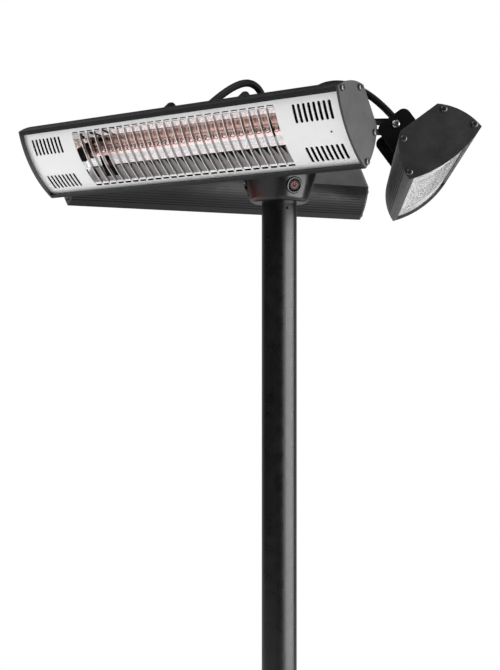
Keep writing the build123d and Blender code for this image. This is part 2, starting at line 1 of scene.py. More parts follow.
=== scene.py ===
from math import atan2, cos, pi, radians, sin, sqrt, tan
import bmesh
import bpy
from mathutils import Matrix, Vector


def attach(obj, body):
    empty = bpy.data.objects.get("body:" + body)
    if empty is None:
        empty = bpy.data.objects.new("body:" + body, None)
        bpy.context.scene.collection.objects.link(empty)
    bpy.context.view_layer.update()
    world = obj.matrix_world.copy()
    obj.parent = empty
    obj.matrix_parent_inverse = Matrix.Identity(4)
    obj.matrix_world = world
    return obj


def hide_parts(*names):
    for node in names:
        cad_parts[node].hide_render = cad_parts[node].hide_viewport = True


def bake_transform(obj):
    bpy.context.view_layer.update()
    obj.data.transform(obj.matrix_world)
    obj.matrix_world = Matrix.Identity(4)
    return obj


# Infrared patio heater tower: looks of the three tilting heads, their arms and leads, the hub, pole and base.
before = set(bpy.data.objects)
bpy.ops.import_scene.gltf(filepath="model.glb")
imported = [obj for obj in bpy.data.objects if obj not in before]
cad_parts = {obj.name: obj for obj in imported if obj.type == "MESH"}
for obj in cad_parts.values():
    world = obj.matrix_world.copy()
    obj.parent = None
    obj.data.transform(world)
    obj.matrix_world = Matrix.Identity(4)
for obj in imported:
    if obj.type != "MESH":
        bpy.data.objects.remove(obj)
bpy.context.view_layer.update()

# ---- sizes in millimetres, as in the solids ----
MM = 0.001
PIVOT_HEIGHT = 2080
PIVOT_RADIUS = 163
HEADS = {"front": (-90, 37), "right": (30, 54), "left": (150, 36)}
LEAD_CRESTS = {"front": 59, "right": 70, "left": 59}
HEAD_HALF = 252.5
BACK_DEPTH = 33
FRONT_DEPTH = 96.5
FRONT_RADIUS = 145
FACE_RECESS = 5
FACE_SHEET = 0.7
FACE_HALF_LENGTH = 249.5
FACE_HALF_HEIGHT = 49.8
SLOT_COUNT, SLOT_PITCH, SLOT_WIDTH, SLOT_LENGTH = 25, 12.95, 11.9, 82
SLOT_END_WIDTH, SLOT_SHOULDER = 10, (37.6, 38.6)   # bars widen where they join the sheet
BAR_THICKNESS = 1.05
BAR_DEPTH = 4
VENT_COUNT, VENT_PITCH, VENT_WIDTH, VENT_LENGTH = 8, 6.9, 3.9, 22.4
VENT_OFFSET = (211, 27)
# the black sheets behind the vents are painted shade
SHADE_SHEET_SPAN, SHADE_SHEET_GAP, SHADE_SHEET_THICKNESS = (183, 243), 3, 0.5   # behind the vents
RIVET_SPOT = (228, 1)
LAMP_DEPTH = 64
TROUGH_FOLD = 21.7         # half height where the walls turn out into the flanges
WINDOW_DEPTH = 90
COIL_HALF_LENGTH = 170
COIL_RADIUS = 3.4
COIL_PITCH = 6.5
COIL_WIRE = 0.5
END_SLOPE = 26 / 34        # of the trough's ends: half length by depth
END_REACH = 160 - 47 * END_SLOPE
VIEW_SKEW = 0.86           # sideways by depth, along the photo's line of sight
SCREW_POINTS = [(43, 29.5), (43, -29.5), (79.5, 47.5), (79.5, -47.5)]
BRACKET_SCREWS = (44, 13)
EAR_OFFSET = 62
PLATE = 3
TAB_FACE = 58
ARM_UNDERSIDE = 6
LEAD_OFFSET = 13
LEAD_DIAMETER = 10
GLAND_RADIUS = 36
GLAND_FLATS = 20
HEAD_GLAND_LENGTH = 16
RELIEF_HEIGHT = 11
HUB_HEIGHT = 102
HUB_BOTTOM = PIVOT_HEIGHT + ARM_UNDERSIDE - PLATE - HUB_HEIGHT
HUB_TOP_RADIUS, HUB_BOTTOM_RADIUS = 72, 41
HUB_FLARE = (HUB_TOP_RADIUS - HUB_BOTTOM_RADIUS) / HUB_HEIGHT
LUG_CIRCLE = 61
ARM_BOLTS = [(24, 36), (-24, 36), (0, 60)]
SWITCH_HEADINGS = (-30, 90, 210)
SWITCH_HEIGHT = HUB_HEIGHT + PLATE - 84
SWITCH_SEAT = HUB_BOTTOM_RADIUS + SWITCH_HEIGHT * HUB_FLARE - 1.6
BEZEL_HEIGHT = 2.6
CAP_TOP = 1.8
POLE_RADIUS = 25
SPIGOT_BORE = 18
BASE_TOP = 22
SOCKET_BOLT_CIRCLE = 50


# ---- places ----
def placed(origin, x_axis, z_axis):
    """Matrix from a millimetre frame to the row frame in metres."""
    z = Vector(z_axis).normalized()
    x = Vector(x_axis).normalized()
    turn = Matrix((x, z.cross(x), z)).transposed().to_4x4()
    return Matrix.Translation(Vector(origin) * MM) @ turn @ Matrix.Scale(MM, 4)


def outward(heading):
    return Vector((cos(radians(heading)), sin(radians(heading)), 0))


def head_frame(side):
    """X along the head, Y up its face, Z out of its face, origin on its tilt axis."""
    heading, tilt = HEADS[side]
    out = outward(heading)
    normal = out * cos(radians(tilt)) - Vector((0, 0, sin(radians(tilt))))
    return placed(out * PIVOT_RADIUS + Vector((0, 0, PIVOT_HEIGHT)), (-out.y, out.x, 0), normal)


def arm_frame(side):
    """X along the head, Y away from the pole, Z up, origin on the pole's axis at the tilt axis."""
    return placed((0, 0, PIVOT_HEIGHT), outward(HEADS[side][0] - 90), (0, 0, 1))


def switch_frame(heading):
    """Origin on the middle of a switch's seat, Z out of the hub, Y up."""
    out = outward(heading)
    seat = out * SWITCH_SEAT + Vector((0, 0, HUB_BOTTOM + SWITCH_HEIGHT))
    return placed(seat, (-out.y, out.x, 0), out - Vector((0, 0, HUB_FLARE)))


def radial_frame(heading, height, distance):
    """Z away from the pole's axis."""
    out = outward(heading)
    return placed(out * distance + Vector((0, 0, height)), (-out.y, out.x, 0), out)


HUB_FRAME = placed((0, 0, HUB_BOTTOM), (1, 0, 0), (0, 0, 1))
SIDES = 36


def shifted(x, y, z=0.0):
    return Matrix.Translation((x, y, z))


FLIPPED = Matrix.Rotation(pi, 4, "X")


# ---- outlines and rings of SIDES points each ----
def spread(corners):
    """Polygon's outline as SIDES points, every corner kept."""
    steps = SIDES // len(corners)
    points = []
    for (ax, ay), (bx, by) in zip(corners, corners[1:] + corners[:1]):
        points += [(ax + (bx - ax) * k / steps, ay + (by - ay) * k / steps) for k in range(steps)]
    return points


def hexagon(flats):
    reach = flats / sqrt(3)
    return spread([(reach * cos(k * pi / 3), reach * sin(k * pi / 3)) for k in range(6)])


def cross(length, half_width):
    """Cross recess, from the lower corner of its right arm."""
    arm = [(length, -half_width), (length, half_width), (half_width, half_width)]
    corners = []
    for quarter in range(4):
        c, s = round(cos(quarter * pi / 2)), round(sin(quarter * pi / 2))
        corners += [(x * c - y * s, x * s + y * c) for x, y in arm]
    return spread(corners)


ROUND = [(cos(2 * pi * k / SIDES), sin(2 * pi * k / SIDES)) for k in range(SIDES)]


def ring(radius, height, like=ROUND):
    """Circle whose points stand at the angles of another outline's points."""
    angles = [atan2(y, x) for x, y in like]
    return [(radius * cos(a), radius * sin(a), height) for a in angles]


def level(outline, height, scale=1.0):
    return [(x * scale, y * scale, height) for x, y in outline]


def ribbed(radius, height, depth):
    """Circle with a shallow rib at every other point."""
    return [((radius - depth * (k % 2)) * x, (radius - depth * (k % 2)) * y, height) for k, (x, y) in enumerate(ROUND)]


class Shell:
    """Closed shells, collected into one mesh."""

    def __init__(self):
        self.verts, self.faces, self.slots = [], [], []

    def stack(self, place, rings, slot=0):
        """Skin over rings of the same count, closed at both ends."""
        first, count = len(self.verts), len(rings[0])
        for points in rings:
            self.verts += [place @ Vector(p) for p in points]
        for row in range(len(rings) - 1):
            a = first + row * count
            for i in range(count):
                j = (i + 1) % count
                self.faces.append((a + i, a + j, a + count + j, a + count + i))
        last = first + (len(rings) - 1) * count
        self.faces.append(tuple(first + i for i in reversed(range(count))))
        self.faces.append(tuple(last + i for i in range(count)))
        self.slots += [slot] * (len(self.faces) - len(self.slots))

    def lathe(self, place, profile, slot=0):
        self.stack(place, [ring(radius, height) for radius, height in profile], slot)

    def head(self, place, radius, height, outline, recess, slot=0):
        """Domed screw head with a driven recess."""
        self.stack(place, [
            ring(radius, 0, outline), ring(radius, 0.3 * height, outline), ring(0.95 * radius, 0.62 * height, outline),
            ring(0.82 * radius, 0.86 * height, outline), ring(0.66 * radius, 0.98 * height, outline),
            level(outline, height), level(outline, height - recess, 0.72)], slot)

    def hex_head(self, place, flats, height, slot=0):
        """Hexagon head with its corners chamfered on top."""
        shape = hexagon(flats)
        self.stack(place, [level(shape, 0), level(shape, 0.8 * height), ring(0.5 * flats, height, shape),
                           ring(0.36 * flats, height + 0.02, shape)], slot)

    def tube(self, place, points, radius, sides=6, slot=0):
        """Round bar along a line of points."""
        line = [Vector(p) for p in points]
        across = Vector((0, 0, 1))
        rings = []
        for k, here in enumerate(line):
            ahead = (line[min(k + 1, len(line) - 1)] - line[max(k - 1, 0)]).normalized()
            across = (across - ahead * across.dot(ahead)).normalized()
            beside = ahead.cross(across)
            rings.append([here + (across * cos(t) + beside * sin(t)) * radius
                          for t in (2 * pi * j / sides for j in range(sides))])
        self.stack(place, rings, slot)

    def band(self, place, inner, outer, start, end, low, high, slot=0):
        """Flat ring or part of one, between two angles in degrees."""
        steps = 40
        rings = []
        for k in range(steps + 1):
            angle = radians(start + (end - start) * k / steps)
            c, s = cos(angle), sin(angle)
            rings.append([(inner * c, inner * s, low), (outer * c, outer * s, low),
                          (outer * c, outer * s, high), (inner * c, inner * s, high)])
        self.stack(place, rings, slot)

    def box(self, place, low, high, slot=0):
        (ax, ay, az), (bx, by, bz) = low, high
        self.stack(place, [[(ax, ay, z), (bx, ay, z), (bx, by, z), (ax, by, z)] for z in (az, bz)], slot)


def finish_mesh(mesh, sharp_angle=32):
    """Outward normals, smooth faces and sharp edges."""
    bm = bmesh.new()
    bm.from_mesh(mesh)
    bmesh.ops.recalc_face_normals(bm, faces=bm.faces)
    for face in bm.faces:
        face.smooth = True
    for edge in bm.edges:
        if len(edge.link_faces) == 2 and edge.calc_face_angle(0) > radians(sharp_angle):
            edge.smooth = False
    bm.to_mesh(mesh)
    bm.free()


def add_object(name, mesh, materials):
    for material in materials:
        mesh.materials.append(material)
    obj = bpy.data.objects.new(name, mesh)
    bpy.context.scene.collection.objects.link(obj)
    return obj


def add_piece(name, shell, materials, body, slot, *nodes):
    """One visual piece that rides on a body and stands for CAD nodes."""
    mesh = bpy.data.meshes.new(name)
    mesh.from_pydata(shell.verts, [], shell.faces)
    mesh.polygons.foreach_set("material_index", shell.slots)
    finish_mesh(mesh)
    obj = add_object(name, mesh, materials)
    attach(obj, body)
    if nodes:
        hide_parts(*nodes)
    return obj


# ---- node materials ----
def put(tree, socket, value):
    if isinstance(value, bpy.types.NodeSocket):
        tree.links.new(value, socket)
    else:
        socket.default_value = value


def add_node(tree, kind, inputs, **settings):
    made = tree.nodes.new(kind)
    for key, value in settings.items():
        setattr(made, key, value)
    for key, value in inputs.items():
        put(tree, made.inputs[key], value)
    return made


class Finish:
    """Principled material fed by procedural textures in the object's own frame."""

    def __init__(self, name, turn=0.0, stretch=(1, 1, 1)):
        self.material = bpy.data.materials.new(name)
        self.material.use_nodes = True
        self.tree = self.material.node_tree
        self.shader = self.tree.nodes["Principled BSDF"]
        where = add_node(self.tree, "ShaderNodeTexCoord", {})
        self.plain = where.outputs["Object"]
        mapping = add_node(self.tree, "ShaderNodeMapping", {"Vector": self.plain}, vector_type="TEXTURE")
        mapping.inputs["Rotation"].default_value = (0, 0, radians(turn))
        mapping.inputs["Scale"].default_value = stretch
        self.vector = mapping.outputs["Vector"]

    def noise(self, scale, detail=2.0, stretched=False, distortion=0.0):
        made = add_node(self.tree, "ShaderNodeTexNoise", {
            "Vector": self.vector if stretched else self.plain, "Scale": scale, "Detail": detail,
            "Distortion": distortion})
        return made.outputs["Fac"]

    def cells(self, scale, smoothness=0.6):
        made = add_node(self.tree, "ShaderNodeTexVoronoi", {
            "Vector": self.plain, "Scale": scale, "Smoothness": smoothness}, feature="SMOOTH_F1")
        return made.outputs["Distance"]

    def between(self, factor, low, high, start=0.3, end=0.7):
        made = add_node(self.tree, "ShaderNodeMapRange", {
            "Value": factor, "From Min": start, "From Max": end, "To Min": low, "To Max": high})
        return made.outputs["Result"]

    def tint(self, factor, dark, light, start=0.3, end=0.7):
        made = add_node(self.tree, "ShaderNodeMix", {}, data_type="RGBA")
        put(self.tree, made.inputs["Factor"], self.between(factor, 0, 1, start, end))
        put(self.tree, made.inputs["A"], (*dark, 1))
        put(self.tree, made.inputs["B"], (*light, 1))
        return made.outputs["Result"]

    def along(self, place, axis):
        """Millimetres from a frame's origin along one of its axes."""
        way = place.to_3x3().col[axis].normalized()
        dot = add_node(self.tree, "ShaderNodeVectorMath", {0: self.plain, 1: way}, operation="DOT_PRODUCT")
        start = -way.dot(place.translation) / MM
        return add_node(self.tree, "ShaderNodeMath", {0: dot.outputs["Value"], 1: 1 / MM, 2: start},
                        operation="MULTIPLY_ADD").outputs[0]

    def math(self, operation, *values):
        return add_node(self.tree, "ShaderNodeMath", dict(enumerate(values)), operation=operation).outputs[0]

    def zones(self, distance, low, high, stops):
        """Colours that change in steps along a distance in millimetres."""
        made = add_node(self.tree, "ShaderNodeValToRGB", {"Fac": self.between(distance, 0, 1, low, high)})
        ramp = made.color_ramp
        ramp.interpolation = "CONSTANT"
        ramp.elements.remove(ramp.elements[1])
        for number, (start, colour) in enumerate(stops):
            spot = (start - low) / (high - low)
            element = ramp.elements.new(spot) if number else ramp.elements[0]
            element.position = spot
            element.color = (*colour, 1)
        return made.outputs["Color"]

    def bump(self, height, distance, strength=1.0, under=None):
        inputs = {"Height": height, "Distance": distance, "Strength": strength}
        if under:
            inputs["Normal"] = under
        return add_node(self.tree, "ShaderNodeBump", inputs).outputs["Normal"]

    def set(self, **values):
        for key, value in values.items():
            put(self.tree, self.shader.inputs[key.replace("_", " ")], value)
        return self


def shade(colour, factor):
    return tuple(min(1.0, channel * factor) for channel in colour)


def coated(name, colour, roughness, turn=0.0, gloss=0.5, grain=0.00006, streak=0.0, red_reflection_spot=None):
    """Satin powder coat or paint: fine orange peel, soft patches, faint drawing lines on extrusions.

    A red reflection spot is a point in metres round which the coat has a painted red reflection, a faint red glow.
    """
    made = Finish(name, turn, (30, 1, 1))
    patches = made.noise(9, 3)
    peel = made.bump(made.noise(1100, 2), grain)
    if streak:
        lines = made.noise(420, 2, stretched=True)
        peel = made.bump(lines, streak, under=peel)
    made.set(Base_Color=made.tint(patches, shade(colour, 0.86), shade(colour, 1.14)),
             Roughness=made.between(made.noise(60, 3), roughness - 0.05, roughness + 0.05),
             Specular_IOR_Level=gloss, Normal=peel)
    if red_reflection_spot:
        away = add_node(made.tree, "ShaderNodeVectorMath", {0: made.plain, 1: red_reflection_spot}, operation="DISTANCE")
        made.set(Emission_Color=(0.8, 0.05, 0.05, 1),
                 Emission_Strength=made.between(away.outputs["Value"], 0.04, 0, 0.002, 0.022))
    return made.material


def metal(name, colour, roughness, turn=0.0, lines=0.00002, scale=900, part=1.0):
    """Drawn or plated metal with fine lines and slightly uneven gloss."""
    made = Finish(name, turn, (40, 1, 1))
    made.set(Base_Color=made.tint(made.noise(25, 3), shade(colour, 0.9), shade(colour, 1.05)), Metallic=part,
             Roughness=made.between(made.noise(140, 3), roughness - 0.05, roughness + 0.07),
             Normal=made.bump(made.noise(scale, 2, stretched=True), lines))
    return made.material


def rubber(name, colour, roughness, scale=1500):
    made = Finish(name)
    made.set(Base_Color=made.tint(made.noise(70, 4), shade(colour, 0.8), shade(colour, 1.3)),
             Roughness=made.between(made.noise(200, 3), roughness - 0.06, roughness + 0.06),
             Specular_IOR_Level=0.14, Normal=made.bump(made.noise(scale, 3), 0.00008))
    return made.material


def glowing(name, colour, strength, base, roughness=0.35):
    made = Finish(name)
    made.set(Base_Color=made.tint(made.noise(400, 2), shade(base, 0.8), shade(base, 1.2)), Roughness=roughness,
             Emission_Color=made.tint(made.noise(90, 2), shade(colour, 0.85), colour), Emission_Strength=strength,
             Specular_IOR_Level=0.15)
    return made.material


COAT = (0.013, 0.013, 0.0145)
coats = {}
for side, (heading, tilt) in HEADS.items():
    # painted light: on the right head the same coat is made 2.6 times paler and glossier, a lit copy of it
    painted_light_tone, gloss = (2.6, 0.75) if side == "right" else (1, 0.32)
    coats[side] = coated(f"housing_{side}", shade(COAT, painted_light_tone), 0.36, heading + 90, gloss, streak=0.00003)
end_coat = coated("end_coat", (0.011, 0.011, 0.0115), 0.4, gloss=0.95)
bracket_coat = coated("bracket_coat", (0.002, 0.002, 0.002), 0.5, gloss=0.15, grain=0.00009)
# painted reflection: the hub's coat glows faint red round this spot
PAINTED_RED_REFLECTION_SPOT = (-0.013, -0.043, 1.988)   # on the hub's lower edge, metres
hub_coat = coated("hub_coat", (0.003, 0.003, 0.0035), 0.24, gloss=0.55, grain=0.00001, red_reflection_spot=PAINTED_RED_REFLECTION_SPOT)
pole_coat = coated("pole_coat", (0.0035, 0.0035, 0.004), 0.3, gloss=0.68, grain=0.00001)
base_coat = coated("base_coat", (0.012, 0.012, 0.013), 0.45, gloss=0.6, grain=0.0001)
black_plastic = rubber("black_plastic", (0.006, 0.006, 0.006), 0.42, 900)
black_rubber = rubber("black_rubber", (0.005, 0.005, 0.0055), 0.45)
vent_shade_black = rubber("vent_shade_sheet_black", (0.002, 0.002, 0.002), 0.7, 900)
foot_rubber = rubber("foot_rubber", (0.02, 0.02, 0.02), 0.7)
steel = metal("plated_steel", (0.4, 0.4, 0.41), 0.24)
dark_steel = metal("dark_steel", (0.12, 0.12, 0.125), 0.35)
black_steel = metal("black_steel", (0.015, 0.015, 0.015), 0.4)
chrome = metal("chrome", (0.07, 0.07, 0.072), 0.07, lines=0.000004)
bar_metal = {side: metal(f"guard_bars_{side}", (0.5, 0.48, 0.48), 0.18, lines=0.00001) for side in HEADS}
# painted light: the right head's bars are a pale, barely metallic copy of the same bars
bar_metal["right"] = metal("painted_pale_bars_right", (0.97, 0.97, 0.97), 0.3, lines=0.00001, part=0.05)
ceramic = rubber("dark_ceramic", (0.03, 0.028, 0.027), 0.6, 700)
terminal = rubber("terminal_plastic", (0.62, 0.6, 0.54), 0.5, 700)
coil_metal = glowing("coil", (0.8, 0.2, 0.14), 0.04, (0.05, 0.018, 0.014))


def make_silver(side):
    """Satin sheet, with painted shade: duller on the head that is seen end-on."""
    heading, tilt = HEADS[side]
    painted_light_tone = 0.75 if side == "right" else 1
    made = Finish(f"face_{side}", heading + 90, (60, 1, 1))
    made.set(Base_Color=made.tint(made.noise(6, 3), (0.87 * painted_light_tone,) * 3, (0.92 * painted_light_tone,) * 3), Metallic=0.5,
             Roughness=made.between(made.noise(300, 3, stretched=True), 0.46, 0.56),
             Normal=made.bump(made.noise(1400, 2, stretched=True), 0.00001))
    return made.material


def make_reflector(side):
    """Dimpled trough with painted reflections and painted shade in bands and marks, fixed to the head and laid out for
    the picture's line of sight.
    """
    heading, tilt = HEADS[side]
    made = Finish(f"reflector_{side}", heading + 90, (50, 1, 1))
    place = head_frame(side)
    x, y, z = (made.along(place, axis) for axis in range(3))
    # painted light on the sloping ends: pale below and dull above
    steep = made.math("MULTIPLY_ADD", z, -END_SLOPE, made.math("ABSOLUTE", x))
    up = made.between(steep, y, made.between(y, -15, 0, -9, -7), END_REACH - 0.3, END_REACH)
    # painted shadows as the slots would throw them: a dark wedge under each slot's painted pale patch, and the lamp
    # holder's painted shadows
    through = made.math("MULTIPLY_ADD", z, -VIEW_SKEW, made.math("ADD", x, VIEW_SKEW * WINDOW_DEPTH))
    turn = made.math("FRACT", made.math("ADD", made.math("DIVIDE", through, SLOT_PITCH), 0.5))
    below = made.math("SUBTRACT", -TROUGH_FOLD, y)
    painted_wedge_shadow = made.math("GREATER_THAN", turn, made.math("MULTIPLY_ADD", below, 0.055, 0.5))
    painted_wedge_shadow = made.math("MULTIPLY", painted_wedge_shadow, made.math("GREATER_THAN", below, 0))
    painted_holder_shadows = made.math("MULTIPLY", made.math("COMPARE", through, -122, 11), made.math("COMPARE", y, -23, 10))
    # painted shade: dark irregular patches in the upper part of the first slots
    patches = made.math("MULTIPLY", made.math("COMPARE", through, -112, 34), made.math("GREATER_THAN", y, 6))
    patches = made.math("MULTIPLY", patches, made.math("GREATER_THAN", made.noise(55, 3), 0.48))
    dark = made.math("MAXIMUM", made.math("MAXIMUM", painted_wedge_shadow, painted_holder_shadows), patches)
    up = made.between(dark, up, -22, 0, 1)
    # bands of painted reflection and shade across the trough: pale strips are painted highlights, near-black strips
    # painted shade; the emitted colours below add painted light to the same bands
    painted_bands = made.zones(up, -45, 45, [
        (-45, (0.01, 0.01, 0.01)), (-40.6, (0.9, 0.9, 0.9)), (-38.6, (0.5, 0.48, 0.47)), (-22.2, (0.04, 0.04, 0.04)),
        (-21.2, (0.3, 0.3, 0.31)), (-10, (0.44, 0.37, 0.34)), (10, (0.4, 0.38, 0.38)), (21.6, (0.05, 0.05, 0.05)),
        (22.8, (0.5, 0.5, 0.51)), (34, (0.05, 0.05, 0.05)), (34.9, (0.9, 0.9, 0.9)), (36.3, (0.01, 0.01, 0.01))])
    glow = made.zones(up, -45, 45, [
        (-45, (0, 0, 0)), (-40.6, (0.7, 0.7, 0.7)), (-38.6, (0.17, 0.16, 0.16)), (-22.2, (0, 0, 0)),
        (-21.2, (0.62, 0.63, 0.64)), (-10, (0.05, 0.035, 0.03)), (10, (0.1, 0.09, 0.09)), (21.6, (0, 0, 0)),
        (22.8, (0.45, 0.46, 0.47)), (34, (0, 0, 0)), (34.9, (0.7, 0.7, 0.7)), (36.3, (0, 0, 0))])
    dimples = made.bump(made.cells(260), 0.0002, 0.45)
    # the emission is painted light, unevenly strong
    made.set(Base_Color=painted_bands, Metallic=1.0, Roughness=made.between(y, 0.3, 0.12, -24, -20), Emission_Color=glow,
             Emission_Strength=made.between(made.noise(420, 4, distortion=1.5), 0.5, 1.2, 0.35, 0.6),
             Normal=made.bump(made.noise(500, 2, stretched=True), 0.00003, under=dimples))
    return made.material


def make_quartz(side):
    """Clear tube whose lower side glows pink."""
    made = Finish(f"quartz_{side}")
    made.set(Base_Color=made.tint(made.noise(20, 2), (0.97, 0.88, 0.86), (0.99, 0.92, 0.9)), Roughness=0.03,
             Transmission_Weight=1.0, IOR=1.45, Normal=made.bump(made.noise(60, 2), 0.0001),
             Emission_Color=made.tint(made.noise(150, 2), (1.0, 0.56, 0.53), (1.0, 0.66, 0.64)),
             Emission_Strength=made.between(made.along(head_frame(side), 1), 0.3, 0.0, -6.5, -2.5))
    return made.material


faces = {side: make_silver(side) for side in HEADS}
mirrors = {side: make_reflector(side) for side in HEADS}
quartz = {side: make_quartz(side) for side in HEADS}
cap_red = glowing("cap", (0.5, 0.0, 0.01), 0.02, (0.006, 0.0, 0.0), 0.2)
symbol_red = glowing("symbol", (1.0, 0.4, 0.42), 0.17, (0.15, 0.05, 0.05), 0.3)

kept = {"pole": pole_coat, "hub": hub_coat, "hub_lid": hub_coat, "pole_socket": base_coat, "base_plate": base_coat,
        "base_feet": foot_rubber, "hub_terminals": terminal}
for side in HEADS:
    kept.update({f"housing_{side}": coats[side], f"end_plates_{side}": end_coat, f"reflector_{side}": mirrors[side],
                 f"lamp_tube_{side}": quartz[side], f"lamp_holders_{side}": ceramic, f"terminal_block_{side}": terminal,
                 f"yoke_{side}": bracket_coat, f"arm_{side}": bracket_coat})
for name, material in kept.items():
    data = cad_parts[name].data
    data.materials.clear()
    data.materials.append(material)


# ---- face sheets: slots and vents with rounded corners, bent to the head's bow ----
def rounded(x, y, width, height, corner, steps=5):
    points = []
    for k, (sx, sy) in enumerate(((1, 1), (-1, 1), (-1, -1), (1, -1))):
        for step in range(steps + 1):
            angle = radians(90 * k + 90 * step / steps)
            points.append((x + sx * (width / 2 - corner) + corner * cos(angle),
                           y + sy * (height / 2 - corner) + corner * sin(angle)))
    return points


def grid(count, pitch, middle=0.0):
    return [middle + (k - (count - 1) / 2) * pitch for k in range(count)]


def slot_outline(middle):
    quarter = [(SLOT_WIDTH / 2, SLOT_SHOULDER[0]), (SLOT_END_WIDTH / 2, SLOT_SHOULDER[1]),
               (SLOT_END_WIDTH / 2, SLOT_LENGTH / 2)]
    half = quarter + [(-x, y) for x, y in reversed(quarter)]
    return [(middle + x, y) for x, y in half + [(-x, -y) for x, y in half]]


def bow(y, recess):
    """Depth of a surface that runs parallel to the bowed front."""
    return FRONT_DEPTH - FRONT_RADIUS + sqrt((FRONT_RADIUS - recess)**2 - y**2)


def face_mesh(place):
    outline = rounded(0, 0, 2 * FACE_HALF_LENGTH, 2 * FACE_HALF_HEIGHT, 0.5, 1)
    openings = [slot_outline(x) for x in grid(SLOT_COUNT, SLOT_PITCH)]
    for side in (1, -1):
        for x in grid(VENT_COUNT, VENT_PITCH, side * VENT_OFFSET[0]):
            for y in (VENT_OFFSET[1], -VENT_OFFSET[1]):
                openings.append(rounded(x, y, VENT_WIDTH, VENT_LENGTH, 0.49 * VENT_WIDTH))
    curve = bpy.data.curves.new("outline", "CURVE")
    curve.dimensions = "2D"
    curve.fill_mode = "BOTH"
    curve.extrude = FACE_SHEET / 2
    for points in [outline] + openings:
        spline = curve.splines.new("POLY")
        spline.points.add(len(points) - 1)
        for point, (x, y) in zip(spline.points, points):
            point.co = (x, y, 0, 1)
        spline.use_cyclic_u = True
    flat = bpy.data.objects.new("outline", curve)
    bpy.context.scene.collection.objects.link(flat)
    bpy.context.view_layer.update()
    mesh = bpy.data.meshes.new_from_object(flat.evaluated_get(bpy.context.evaluated_depsgraph_get()))
    bpy.data.objects.remove(flat)
    bm = bmesh.new()
    bm.from_mesh(mesh)
    bmesh.ops.remove_doubles(bm, verts=bm.verts, dist=0.0005)
    for y in range(-46, 47, 4):
        geometry = bm.verts[:] + bm.edges[:] + bm.faces[:]
        bmesh.ops.bisect_plane(bm, geom=geometry, plane_co=(0, y, 0), plane_no=(0, 1, 0))
    for vert in bm.verts:
        x, y, z = vert.co
        vert.co = place @ Vector((x, y, bow(y, FACE_RECESS + FACE_SHEET / 2 - z)))
    bm.to_mesh(mesh)
    bm.free()
    finish_mesh(mesh)
    return mesh


def guard_bars(place):
    """Bars on edge between the slots, deepest in the middle and running out towards the sheet."""
    shell = Shell()
    reach = SLOT_SHOULDER[1]
    for middle in grid(SLOT_COUNT - 1, SLOT_PITCH):
        rings = []
        for step in range(21):
            y = reach * (step / 10 - 1)
            front = bow(y, FACE_RECESS + 0.02)
            back = front - FACE_SHEET - BAR_DEPTH * min(1, (reach - abs(y)) / BAR_DEPTH)
            low, high = middle - BAR_THICKNESS / 2, middle + BAR_THICKNESS / 2
            rings.append([(low, y, back), (high, y, back), (high, y, front), (low, y, front)])
        shell.stack(place, rings)
        edges = [[(x, y, front + 0.02) if z == front else (x, y, front - 0.2) for x, y, z in row]
                 for row in rings for front in [row[2][2]]]
        shell.stack(place, edges, 1)
    return shell


for side in HEADS:
    sheet = add_object(f"face_sheet_{side}", face_mesh(head_frame(side)), [faces[side]])
    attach(sheet, f"head_{side}")
    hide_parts(f"face_grille_{side}")
    add_piece(f"guard_bars_{side}", guard_bars(head_frame(side)), [bar_metal[side], faces[side]],
              f"head_{side}", "face_silver")


def vent_shade_sheets(place):
    """Thin black sheets behind the vents, painted shade that stands for the dark inside the head."""
    shell = Shell()
    near, far = SHADE_SHEET_SPAN
    for low, high in ((-far, -near), (near, far)):
        rings = []
        for y in range(-44, 45, 4):
            front = bow(y, FACE_RECESS + SHADE_SHEET_GAP)
            back = front - SHADE_SHEET_THICKNESS
            rings.append([(low, y, back), (high, y, back), (high, y, front), (low, y, front)])
        shell.stack(place, rings)
    return shell


for side in HEADS:
    add_piece(f"vent_shade_sheets_{side}", vent_shade_sheets(head_frame(side)), [vent_shade_black], f"head_{side}", "bracket_paint")

# ---- fasteners and small parts of each head ----
PAN_CROSS = cross(2.2, 0.55)
HEX_DRIVE = hexagon(4.0)
BIG_CROSS = cross(2.6, 0.7)


def screw(shell, place, radius, height, shaft, length, drive, slot=0):
    """Screw with its head's seat at the origin, its head along +Z and its shaft along -Z."""
    shell.head(place, radius, height, drive, 0.45 * height, slot)
    shell.lathe(place, [(shaft, 0.01), (shaft, -length + 0.5), (0.6 * shaft, -length)], slot)


